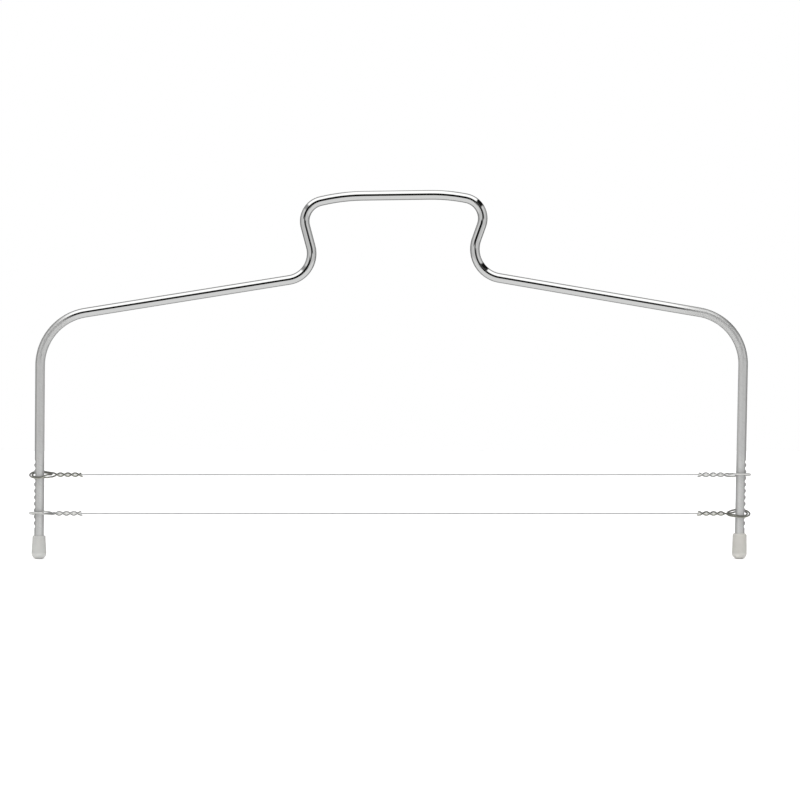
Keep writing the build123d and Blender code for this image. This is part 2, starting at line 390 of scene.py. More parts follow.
class Bench:
    """A node tree under construction, for a material or the world."""

    def __init__(self, tree: bpy.types.NodeTree) -> None:
        """Start from an empty tree."""
        self.tree = tree
        self.tree.nodes.clear()

    def put(self, socket: Socket, value: object) -> None:
        """Link an output to a socket, or write a plain value into it, a colour with its alpha.

        Args:
            socket: The input socket.
            value: The output or the plain value.
        """
        if isinstance(value, Socket):
            self.tree.links.new(value, socket)
        elif socket.type == "RGBA":
            socket.default_value = (*value, 1)
        else:
            socket.default_value = value

    def add(self, kind: str, settings: dict | None = None, **inputs: object) -> bpy.types.Node:
        """Add a node, set its properties, and give its inputs values or links.

        Args:
            kind: The node's type name.
            settings: Properties of the node itself.
            **inputs: A value or an output socket for each input, spaces written as underscores;
                in0, in1 and so on name inputs by number.

        Returns:
            The node.
        """
        node = self.tree.nodes.new(kind)
        for name, value in (settings or {}).items():
            setattr(node, name, value)
        for name, value in inputs.items():
            numbered = name.startswith("in") and name[2:].isdigit()
            self.put(node.inputs[int(name[2:]) if numbered else name.replace("_", " ")], value)
        return node

    def math(self, operation: str, *values: object) -> Socket:
        """The output of a Math node with that operation on values or sockets."""
        inputs = {f"in{index}": value for index, value in enumerate(values)}
        return self.add("ShaderNodeMath", {"operation": operation}, **inputs).outputs[0]

    def product(self, *values: object) -> Socket:
        """All the values multiplied together."""
        return reduce(partial(self.math, "MULTIPLY"), values)

    def step(self, value: object, fade: Fade) -> Socket:
        """The share of a fade that a value has come, smoothed at both ends.

        Args:
            value: The value.
            fade: Where the share is zero and where it is one, in either order.

        Returns:
            The share.
        """
        rising = fade.start < fade.end
        node = self.add(
            "ShaderNodeMapRange",
            {"interpolation_type": "SMOOTHSTEP"},
            Value=value,
            From_Min=min(fade.start, fade.end),
            From_Max=max(fade.start, fade.end),
            To_Min=0.0 if rising else 1.0,
            To_Max=1.0 if rising else 0.0,
        )
        return node.outputs[0]

    def window(self, value: object, opening: Fade, closing: Fade) -> Socket:
        """One where a value is past the opening fade and has not come to the closing one."""
        return self.product(self.step(value, opening), self.step(value, closing))

    def blend(self, share: object, first: object, second: object) -> Socket:
        """A plain number that goes from first to second as share goes from zero to one."""
        node = self.add("ShaderNodeMix", {"data_type": "FLOAT"}, in0=share, in2=first, in3=second)
        return node.outputs[0]

    def tint(self, share: object, first: object, second: object) -> Socket:
        """A colour that goes from first to second as share goes from zero to one."""
        node = self.add("ShaderNodeMix", {"data_type": "RGBA"}, in0=share, in6=first, in7=second)
        return node.outputs[2]

    def noise(self, place: object, grain: Grain) -> Socket:
        """A noise pattern, between zero and one.

        Args:
            place: The place that it is taken at.
            grain: Its repeats and fineness.

        Returns:
            The pattern.
        """
        scaled = self.add("ShaderNodeMapping", Vector=place, Scale=grain.repeats).outputs[0]
        node = self.add(
            "ShaderNodeTexNoise",
            Vector=scaled,
            Scale=1.0,
            Detail=grain.detail,
            Roughness=grain.roughness,
        )
        return node.outputs[0]

    def bump(self, height: Socket, depth: float, strength: float) -> Socket:
        """A surface direction that follows a height pattern."""
        node = self.add("ShaderNodeBump", Strength=strength, Distance=depth, Height=height)
        return node.outputs[0]

    def paint(self, **inputs: object) -> None:
        """Give the material a Principled surface, with inputs as in add."""
        surface = self.add("ShaderNodeBsdfPrincipled", **inputs).outputs[0]
        self.add("ShaderNodeOutputMaterial", Surface=surface)

    def attribute(self, name: str) -> Socket:
        """The value of one of the mesh's own point attributes."""
        return self.add("ShaderNodeAttribute", {"attribute_name": name}).outputs["Fac"]

    def place(self) -> Socket:
        """The point in the object's own metres."""
        return self.add("ShaderNodeTexCoord").outputs["Object"]

    def along_path(self) -> Socket:
        """The piece's own UV map, around and along the wire."""
        return self.add("ShaderNodeUVMap", {"uv_map": PATH_UV}).outputs[0]


def new_material(name: str) -> tuple[Material, Bench]:
    """An empty node material.

    Args:
        name: Its name.

    Returns:
        The material and its bench.
    """
    material = bpy.data.materials.new(name)
    material.use_nodes = True
    return material, Bench(material.node_tree)


@dataclass(frozen=True)
class ChromePlate:
    """Chrome plate: mirror bright on the handle, satin round the bends and more so down the legs, with
    painted shade along the sides and a painted highlight strip on the legs.
    """

    colour: Colour = (0.55, 0.552, 0.547)
    satin_colour: Colour = (0.495, 0.495, 0.49)
    # painted shade along the rod's sides, and a painted highlight strip on the legs
    darkening_colour: Colour = (0.27, 0.27, 0.267)
    painted_highlight_colour: Colour = (0.68, 0.68, 0.67)
    edge_colour: Colour = (0.4, 0.4, 0.4)
    mirror_roughness: float = 0.05
    satin_roughness: float = 0.5
    blur_power: float = 1.5
    haze_roughness: float = 0.02
    wear_roughness: float = 0.1
    satin_metal: float = 0.5
    specular_level: float = 0.3
    rod_girth: float = 0.01414
    grind_angle: float = float(np.radians(-28))
    mark_depth: float = 0.000004
    mark_strength: float = 0.35
    draw_marks: Grain = Grain((26, 60, 1))
    haze: Grain = Grain((90, 90, 90))
    grinding: Grain = Grain((240, 2200, 1))
    grinding_relief: float = 0.05
    streak: Fade = Fade(0.42, 0.7)
    streak_share: float = 0.18

    def material(self) -> Material:
        """Metal whose blur and tone follow the rod's own attributes, with marks along the rod. The
        tone carries painted shade along the rod's sides and a painted highlight strip on the legs.

        The draw marks are noise on the path UV, drawn out along the rod. The grinding is noise
        on the unrolled skin, turned by the grinding angle and drawn out across it. It comes in
        with the square of the satin, so that the mirror runs into it without speckles.

        Returns:
            The material.
        """
        material, bench = new_material("chrome_plate")
        path = bench.along_path()
        satin, wear = bench.attribute("satin"), bench.attribute("wear")
        marks = bench.noise(path, self.draw_marks)
        haze = bench.noise(bench.place(), self.haze)
        unrolled = bench.add("ShaderNodeMapping", Vector=path, Scale=(self.rod_girth, 1, 1))
        turned = bench.add(
            "ShaderNodeMapping", Vector=unrolled.outputs[0], Rotation=(0, 0, self.grind_angle)
        )
        grinding = bench.noise(turned.outputs[0], self.grinding)
        ground = bench.product(satin, satin)
        blur = bench.math("POWER", satin, self.blur_power)
        roughness = bench.blend(blur, self.mirror_roughness, self.satin_roughness)
        roughness = bench.math("MULTIPLY_ADD", haze, self.haze_roughness, roughness)
        roughness = bench.math("MULTIPLY_ADD", wear, self.wear_roughness, roughness)
        streaks = bench.product(bench.step(grinding, self.streak), ground, self.streak_share)
        # grinding streaks, and painted shade along the rod's outer and inner sides
        dull = bench.math("MAXIMUM", streaks, bench.attribute("dull"))
        plate = bench.tint(satin, self.colour, self.satin_colour)
        # painted highlight strip between the middle and the inner side of the legs
        plate = bench.tint(bench.attribute("burnish"), plate, self.painted_highlight_colour)
        plate = bench.tint(dull, plate, self.darkening_colour)
        height = bench.math("ADD", marks, bench.product(grinding, ground, self.grinding_relief))
        bench.paint(
            Metallic=bench.blend(satin, 1.0, self.satin_metal),
            Base_Color=plate,
            Roughness=roughness,
            Specular_IOR_Level=self.specular_level,
            Specular_Tint=self.edge_colour,
            Normal=bench.bump(height, self.mark_depth, self.mark_strength),
        )
        return material


@dataclass(frozen=True)
class DrawnWire:
    """Drawn steel wire: fine marks along the wire and a slightly uneven oxide tone."""

    name: str
    colour: Colour
    dark_colour: Colour
    edge_colour: Colour
    roughness: float
    metal: float = 1.0
    roughness_swing: float = 0.1
    draw_marks: Grain = Grain((14, 240, 1), roughness=0.65)
    oxide: Grain = Grain((420, 420, 420))
    oxide_share: Fade = Fade(0.35, 0.7)
    mark_depth: float = 0.000004
    mark_strength: float = 0.6

    def tone(self, bench: Bench) -> Socket:
        """The wire's colour, darker where the oxide noise is high."""
        oxide = bench.step(bench.noise(bench.place(), self.oxide), self.oxide_share)
        return bench.tint(oxide, self.colour, self.dark_colour)

    def shine(self, bench: Bench) -> object:
        """The share of plain metal, which is the same all over."""
        return self.metal

    def material(self) -> Material:
        """Metal with marks from noise on the path UV, drawn out along the wire.

        Returns:
            The material.
        """
        material, bench = new_material(self.name)
        marks = bench.noise(bench.along_path(), self.draw_marks)
        lowest = self.roughness - self.roughness_swing / 2
        bench.paint(
            Metallic=self.shine(bench),
            Base_Color=self.tone(bench),
            Roughness=bench.math("MULTIPLY_ADD", marks, self.roughness_swing, lowest),
            Specular_Tint=self.edge_colour,
            Normal=bench.bump(marks, self.mark_depth, self.mark_strength),
        )
        return material


@dataclass(frozen=True)
class CuttingSteel(DrawnWire):
    """The cutting wire: plain drawn steel, with a pale painted highlight where the twists grip it."""

    # painted highlight on the wire within the twists: pale, and less metal
    twist_highlight_colour: Colour = (0.7, 0.7, 0.68)
    twist_highlight_metal: float = 0.2

    def tone(self, bench: Bench) -> Socket:
        """The plain wire's colour, going over to the painted highlight colour by the gripped
        attribute.
        """
        return bench.tint(bench.attribute("gripped"), super().tone(bench), self.twist_highlight_colour)

    def shine(self, bench: Bench) -> Socket:
        """The share of plain metal, less where the twists grip the wire, for the painted highlight."""
        return bench.blend(bench.attribute("gripped"), self.metal, self.twist_highlight_metal)


@dataclass(frozen=True)
class LoopWire(DrawnWire):
    """The stiff wire of the end loops, in a lighter or a darker tone, with painted shade along its
    crests.
    """

    metal: float = 0.2
    # painted shade along the crests
    crest_shade_colour: Colour = (0.2, 0.2, 0.197)

    def tone(self, bench: Bench) -> Socket:
        """The plain wire's colour, going over to the painted crest shade by the crest attribute."""
        return bench.tint(bench.attribute("crest"), super().tone(bench), self.crest_shade_colour)


@dataclass(frozen=True)
class CapPlastic:
    """Soft off-white plastic that lets a little light in, over the hidden end of the rod."""

    name: str
    colour: Colour = (0.60, 0.60, 0.585)
    shade_colour: Colour = (0.50, 0.50, 0.483)
    cloud_colour: Colour = (0.44, 0.44, 0.425)
    cloud_share: float = 0.35
    rod_end: Fade = Fade(0.0022, 0.0033)
    grain: Grain = Grain((900, 900, 900), detail=4)
    clouds: Grain = Grain((260, 260, 260), roughness=0.55)
    cloud_edge: Fade = Fade(0.4, 0.75)
    roughness: float = 0.58
    roughness_swing: float = 0.16
    specular_level: float = 0.12
    grain_depth: float = 0.00002
    grain_strength: float = 0.25
    inner_glow: float = 0.15
    glow_reach: float = 0.0012
    glow_tint: Colour = (1.0, 0.95, 0.8)
    refraction: float = 1.5

    def material(self) -> Material:
        """Plastic, greyer where the rod fills it, with slow clouds and fine mould grain.

        The grey sets in over a short height at the rod's end.

        Returns:
            The material.
        """
        material, bench = new_material(self.name)
        place = bench.place()
        height = bench.add("ShaderNodeSeparateXYZ", Vector=place).outputs["Z"]
        shaded = bench.tint(bench.step(height, self.rod_end), self.colour, self.shade_colour)
        cloud = bench.step(bench.noise(place, self.clouds), self.cloud_edge)
        cloudy = bench.product(cloud, self.cloud_share)
        grain = bench.noise(place, self.grain)
        lowest = self.roughness - self.roughness_swing / 2
        bench.paint(
            Base_Color=bench.tint(cloudy, shaded, self.cloud_colour),
            Specular_IOR_Level=self.specular_level,
            Roughness=bench.math("MULTIPLY_ADD", grain, self.roughness_swing, lowest),
            Subsurface_Weight=self.inner_glow,
            Subsurface_Radius=self.glow_tint,
            Subsurface_Scale=self.glow_reach,
            IOR=self.refraction,
            Normal=bench.bump(grain, self.grain_depth, self.grain_strength),
        )
        return material


@dataclass(frozen=True)
class Legs:
    """Where the legs stand, how many degrees they lean, and where their notches are."""

    spacing: float = 0.3304
    left_lean: float = 0.37
    right_lean: float = 1.18
    rod_radius: float = 0.00225
    lowest_notch: float = 0.0154
    notch_pitch: float = 0.00304
    notch_count: int = 11

    @property
    def notch_span(self) -> float:
        """From the lowest notch to the highest."""
        return self.notch_pitch * (self.notch_count - 1)

    def notch_height(self, number: int) -> float:
        """The height of a notch, counted from the lowest, which is 0."""
        return self.lowest_notch + self.notch_pitch * number

    def axis_x(self, side: Side, height: float) -> float:
        """The X of a leg's axis: half the spacing at the middle notch, and the lean from there.

        Args:
            side: Which leg.
            height: The height.

        Returns:
            The X.
        """
        lean = -self.left_lean if side is Side.LEFT else self.right_lean
        middle = self.lowest_notch + self.notch_span / 2
        slope = float(np.tan(np.radians(lean)))
        return side.value * (self.spacing / 2 + (height - middle) * slope)

    def place(self, side: Side, height: float) -> Array:
        """The point of a leg's axis at a height."""
        return np.array([self.axis_x(side, height), 0.0, height])

    def up(self, side: Side) -> Array:
        """The unit direction up a leg."""
        return unit(self.place(side, 1.0) - self.place(side, 0.0))

    def outwards(self, side: Side) -> Array:
        """The direction square to a leg, in the frame's plane, away from the middle.

        Args:
            side: Which leg.

        Returns:
            The unit direction.
        """
        sideways = np.array([float(side.value), 0.0, 0.0])
        up = self.up(side)
        return unit(sideways - up * (sideways @ up))


@dataclass
class FrameRod:
    """The bent bar: legs, shoulders, necks and grip in one flat plane, with pressed notches."""

    legs: Legs
    end_height: float = 0.0028
    end_chamfer: float = 0.0005
    shoulder_height: float = 0.1127
    shoulder_rises: tuple[float, float] = (0.0210, 0.0225)
    neck_rise: float = 0.0327
    crown_rises: tuple[float, float] = (0.0046, 0.0038)
    neck_width: float = 0.069
    neck_shift: float = 0.0008
    grip_width: float = 0.0894
    grip_shift: float = 0.0023
    crown_width_share: float = 0.553
    shoulder_bends: tuple[float, float] = (0.0253, 0.0247)
    neck_bends: tuple[float, float] = (0.0126, 0.0138)
    grip_bend: float = 0.0097
    crown_bend_share: float = 0.93
    # the notches and the lands between them
    notch_depth: float = 0.0005
    land_height: float = 0.00025
    land_inset: float = 0.0012
    notch_ends: float = 0.0006
    crease: float = 0.00009
    uncut_share: float = 3.0
    least_facing: float = 0.05
    # how finely the mesh is cut
    around: int = 88
    run_step: float = 0.004
    notch_step: float = 0.00014
    least_step_share: float = 1 / 3
    length_places: int = 7
    margin_pitches: int = 2
    turn_step: float = float(np.radians(2.2))
    # where the plate is worn and satin, and where shade and a highlight strip are painted on
    wear_ends: float = 0.002
    wear_side: Fade = Fade(0.1, 0.75)
    satin_left: Fade = Fade(-0.1470, -0.1558)
    satin_right: Fade = Fade(0.1310, 0.1470)
    satin_share: float = 0.75
    matte: Fade = Fade(0.101, 0.086)
    outer_side: Fade = Fade(0.40, 0.72)
    inner_side: Fade = Fade(-0.55, -0.85)
    # painted shade on the outer and inner sides, and a painted highlight strip on the legs
    outer_shade: float = 0.68
    inner_dull: tuple[float, float] = (0.0, 0.35)
    notched_stretch: Fade = Fade(0.052, 0.044)
    painted_highlight_side: tuple[Fade, Fade] = (Fade(0.5, -0.35), Fade(-0.68, -0.45))
    burnish: tuple[float, float] = (0.1, 0.45)

    def route(self) -> Route:
        """The rod's axis: runs between the corner points, joined by the bends.

        Each side has the corners of its leg's end, shoulder, neck, grip and crown, from the
        outside in. The right side's follow the left side's backwards.

        Returns:
            The route, from the left leg's end to the right one's.
        """
        halves = []
        for side, shoulder_rise, crown_rise in zip(Side, self.shoulder_rises, self.crown_rises):
            neck_height = self.shoulder_height + shoulder_rise
            grip_height = neck_height + self.neck_rise
            neck_half = side.value * self.neck_width / 2
            grip_half = side.value * self.grip_width / 2
            flat = [
                (self.legs.axis_x(side, self.end_height), self.end_height),
                (self.legs.axis_x(side, self.shoulder_height), self.shoulder_height),
                (self.neck_shift + neck_half, neck_height),
                (self.grip_shift + grip_half, grip_height),
                (self.grip_shift + self.crown_width_share * grip_half, grip_height + crown_rise),
            ]
            halves.append([(x, 0.0, z) for x, z in flat])
        bends = []
        pairs = zip(self.shoulder_bends, self.neck_bends, halves, halves[::-1])
        for shoulder, neck, half, other in pairs:
            crown = self.crown_bend(np.array(half[2:] + other[-1:]))
            bends.append([shoulder, neck, self.grip_bend, crown])
        corners = np.array(halves[0] + halves[1][::-1])
        return rounded_route(corners, np.array(bends[0] + bends[1][::-1]))

    def crown_bend(self, corners: Array) -> float:
        """The bend at a crown corner: a share of what the slope beside it leaves room for.

        Args:
            corners: The neck, the grip, the crown and the other crown corner.

        Returns:
            The radius.
        """
        headings = unit(np.diff(corners, axis=0))
        half_turns = np.arccos(np.sum(headings[:-1] * headings[1:], axis=1)) / 2
        room = np.linalg.norm(corners[2] - corners[1]) - self.grip_bend * np.tan(half_turns[0])
        return float(self.crown_bend_share * room / np.tan(half_turns[1]))

    def notched_reach(self, along: Array) -> Array:
        """How far the metal reaches outwards from a leg's axis, by length up the leg.

        Grooves and rounded lands are arcs of one radius that meet at a quarter pitch from each
        groove's middle. The first and last groove run out to the rod's own surface, and past
        them nothing is cut, which is written as infinity.

        Args:
            along: Lengths up the leg from the lowest notch.

        Returns:
            The reach at each length.
        """
        pitch, span = self.legs.notch_pitch, self.legs.notch_span
        swing = self.land_height + self.notch_depth
        radius = (pitch**2 / 16 + swing**2 / 4) / swing
        middle = pitch * np.clip(np.round(along / pitch), 0, self.legs.notch_count - 1)
        offset = np.abs(along - middle)
        outside = (along < 0) | (along > span)
        mouth = np.sqrt(2 * radius * self.notch_depth - self.notch_depth**2)
        bottom = self.legs.rod_radius - self.notch_depth
        crest = self.legs.rod_radius + self.land_height
        groove = bottom + radius - np.sqrt(np.maximum(radius**2 - offset**2, 0))
        land = crest - radius + np.sqrt(np.maximum(radius**2 - (pitch / 2 - offset) ** 2, 0))
        reach = np.where((offset <= pitch / 4) | outside, groove, land)
        return np.where(outside & (offset > mouth), np.inf, reach)

    def section(self, along: Array, angles: Array) -> Array:
        """The leg's radius by length up the leg and angle from the outward direction.

        The section is the rod's circle joined with the swollen circle, whose axis lies outwards
        by land_inset, and then cut off at the notched reach over the cosine. Where nothing is
        cut, the limit is uncut_share rod radii, which the section never comes to.

        Args:
            along: Lengths up the leg from the lowest notch, one for each ring.
            angles: Angles around the leg.

        Returns:
            The radius for each ring and angle.
        """
        rod = self.legs.rod_radius
        swell = rod + self.land_height - self.land_inset
        root = np.sqrt(np.maximum(swell**2 - (self.land_inset * np.sin(angles)) ** 2, 0))
        swollen = self.land_inset * np.cos(angles) + root
        inside = self.notched_share(along, self.notch_ends)
        grown = rod + inside[:, None] * np.maximum(swollen - rod, 0)
        reach = self.notched_reach(along)[:, None]
        facing = np.maximum(np.cos(angles), self.least_facing)
        limit = np.minimum(reach / facing, self.uncut_share * rod)
        return soft_minimum(grown, limit, self.crease)

    def notched_share(self, along: Array, ends: float) -> Array:
        """One along the notches, falling to zero over a length past the first and the last.

        Args:
            along: Lengths up the leg from the lowest notch.
            ends: The length of the fall.

        Returns:
            The share at each length.
        """
        span = self.legs.notch_span
        rise, fall = Fade(-ends, 0.0), Fade(span + ends, span)
        return smooth_step(along, rise) * smooth_step(along, fall)

    def dress(self, rod: Thing, centres: Array, cosines: Array) -> None:
        """Write how satin the plate is, and where shade and a highlight are painted, by place and
        side.

        Satin sets in along X on the two shoulder bends and grows to matte down the legs. Painted
        shade darkens the outer side of what is satin, and a little of the inner side on the notched
        stretch. A painted highlight strip lies between the middle and the inner side, and is
        stronger on the notched stretch.

        Args:
            rod: The rod.
            centres: The axis point of each ring.
            cosines: The cosine of each place's angle from the outer side.
        """
        x, height = centres[:, 0], centres[:, 2]
        bent = smooth_step(x, self.satin_left) + smooth_step(x, self.satin_right)
        matte = smooth_step(height, self.matte)
        satin = bent * (self.satin_share + (1 - self.satin_share) * matte)
        notched = smooth_step(height, self.notched_stretch)
        inner_shading, highlight_strength = (
            low + (high - low) * notched for low, high in (self.inner_dull, self.burnish)
        )
        outer = self.outer_shade * smooth_step(cosines, self.outer_side)
        inner = inner_shading[:, None] * smooth_step(cosines, self.inner_side)
        past_middle, before_inner = (smooth_step(cosines, fade) for fade in self.painted_highlight_side)
        shares = {
            "satin": np.repeat(satin[:, None], self.around, axis=1),
            # painted shade along the sides of the satin part
            "dull": bent[:, None] * (outer + inner),
            # painted highlight strip, stronger on the notched stretch
            "burnish": (matte * highlight_strength)[:, None] * past_middle * before_inner,
        }
        for name, share in shares.items():
            point_attribute(rod, name, share)

    def ring_lengths(self, route: Route) -> Array:
        """Where the rings stand along the axis: finely over the notches, else by its bends.

        Args:
            route: The rod's axis.

        Returns:
            The lengths, rising, without those that crowd the one before.
        """
        margin = self.margin_pitches * self.legs.notch_pitch
        fine = np.arange(-margin, self.legs.notch_span + margin, self.notch_step)
        drop = self.legs.lowest_notch - self.end_height
        left, right = (drop / self.legs.up(side)[2] for side in Side)
        stations = route.stations(self.run_step, self.turn_step)
        ends = [self.end_chamfer, route.length - self.end_chamfer]
        lengths = np.concatenate([stations, ends, left + fine, route.length - right - fine])
        along = np.unique(np.round(lengths, self.length_places))
        return along[np.diff(along, prepend=-1) > self.least_step_share * self.notch_step]

    def build(self, finish: Material) -> Thing:
        """Sweep the section along the axis: centre + radius (cos(angle) n + sin(angle) Y).

        Args:
            finish: The rod's material.

        Returns:
            The frame rod.
        """
        route = self.route()
        along = self.ring_lengths(route)
        centres, headings = route.at(along)
        sideways = np.cross(headings, ACROSS)
        angles = full_turn(self.around)
        radii = np.full((len(along), self.around), self.legs.rod_radius)
        wear = np.zeros_like(radii)
        climbs = (along, route.length - along)
        for side, climb, run in zip(Side, climbs, (route.stretches[0], route.stretches[-1])):
            leg = climb < run.length
            foot = self.legs.place(side, self.legs.lowest_notch)
            height = (centres[leg] - foot) @ self.legs.up(side)
            facing = (sideways[leg] @ self.legs.outwards(side))[0]
            turned = angles if facing > 0 else angles + np.pi
            radii[leg] = self.section(height, turned)
            near = self.notched_share(height, self.wear_ends)[:, None]
            wear[leg] = near * smooth_step(np.cos(turned), self.wear_side)
        radii -= drawn_in(along, route.length, self.end_chamfer)[:, None]
        rings = centres[:, None] + radii[:, :, None] * spokes(angles, sideways, ACROSS)
        rod = skin("chromed_frame_rod", rings, along)
        self.dress(rod, centres, np.cos(angles)[None, :])
        point_attribute(rod, "wear", wear)
        rod.data.materials.append(finish)
        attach(rod, "frame")
        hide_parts("frame_rod")
        return rod


@dataclass
class FootCap:
    """A plastic thimble pushed over the rod's end, flat where it stands."""

    legs: Legs
    side: Side
    height: float
    mouth_radius: float
    mouth_round: float
    belly_radius: float = 0.00345
    belly_height: float = 0.0032
    belly_round: float = 0.0057
    base_round: float = 0.00285
    base_trim: float = 0.00006
    fit_clearance: float = 0.00003
    rod_end_height: float = 0.0028
    lip_round: float = 0.00012
    around: int = 96
    turn_step: float = float(np.radians(9))
    run_step: float = 0.0004

    def build(self, finish: Material) -> Thing:
        """Turn the section about the leg's axis and press it flat against the table.

        The section is a rounded line from the axis over the bore's floor, up the bore, over the
        lip, down the outside and in along the base. What would reach below zero is put at zero.

        Args:
            finish: The cap's material.

        Returns:
            The foot cap.
        """
        bore = self.legs.rod_radius + self.fit_clearance
        floor = self.rod_end_height - self.fit_clearance
        corners = np.array(
            [
                (self.lip_round, 0.0, floor),
                (bore, 0.0, floor),
                (bore, 0.0, self.height),
                (self.mouth_radius, 0.0, self.height),
                (self.belly_radius, 0.0, self.belly_height),
                (self.belly_radius, 0.0, -self.base_trim),
                (self.lip_round, 0.0, -self.base_trim),
            ]
        )
        bends = np.array(
            [self.lip_round, self.lip_round, self.mouth_round, self.belly_round, self.base_round]
        )
        route = rounded_route(corners, bends)
        along = route.stations(self.run_step, self.turn_step)
        section = route.at(along)[0]
        outwards, up = self.legs.outwards(self.side), self.legs.up(self.side)
        directions = spokes(full_turn(self.around), outwards, ACROSS)
        rings = section[:, None, :1] * directions + section[:, None, 2:] * up
        rings += self.legs.place(self.side, 0.0)
        rings[:, :, 2] = np.maximum(rings[:, :, 2], 0)
        name = f"{self.side.name.lower()}_foot_cap"
        cap = skin(f"{name}_moulding", rings, along)
        cap.data.materials.append(finish)
        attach(cap, "frame")
        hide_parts(name)
        return cap


class Level(Enum):
    """The two cutting wires, by the number of the notch that each sits in."""

    LOWER = 2
    UPPER = 8


@dataclass
class CuttingWire:
    """One taut wire across the frame."""

    legs: Legs
    level: Level
    radius: float = 0.000225
    end_reach: float = 0.0083
    end_round: float = 0.00008
    around: int = 20
    step: float = 0.006
    gripped_end: Fade = Fade(0.0114, 0.011)

    def build(self, finish: Material) -> Thing:
        """Carry a circle along X, drawn in at both cut ends.

        Args:
            finish: The wire's material.

        Returns:
            The cutting wire.
        """
        height = self.legs.notch_height(self.level.value)
        start = self.legs.axis_x(Side.LEFT, height) + self.end_reach
        end = self.legs.axis_x(Side.RIGHT, height) - self.end_reach
        count = int(np.ceil((end - start) / self.step))
        inner = np.linspace(start + self.end_round, end - self.end_round, count)
        grip = np.array([self.gripped_end.start, self.gripped_end.end])
        along = np.sort(np.concatenate([[start, end], inner, start + grip, end - grip]))
        radii = self.radius - drawn_in(along - start, end - start, self.end_round)
        rings = radii[:, None, None] * spokes(full_turn(self.around), ACROSS, UPRIGHT)
        rings[:, :, 0] += along[:, None]
        rings[:, :, 2] += height
        name = f"{self.level.name.lower()}_cutting_wire"
        wire = skin(f"{name}_drawn", rings, along)
        # where the twists grip the wire, which takes the painted highlight
        gripped = smooth_step(np.minimum(along - start, end - along), self.gripped_end)
        point_attribute(wire, "gripped", np.repeat(gripped[:, None], self.around, axis=1))
        wire.data.materials.append(finish)
        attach(wire, f"{self.level.name.lower()}_wire")
        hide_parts(name)
        return wire


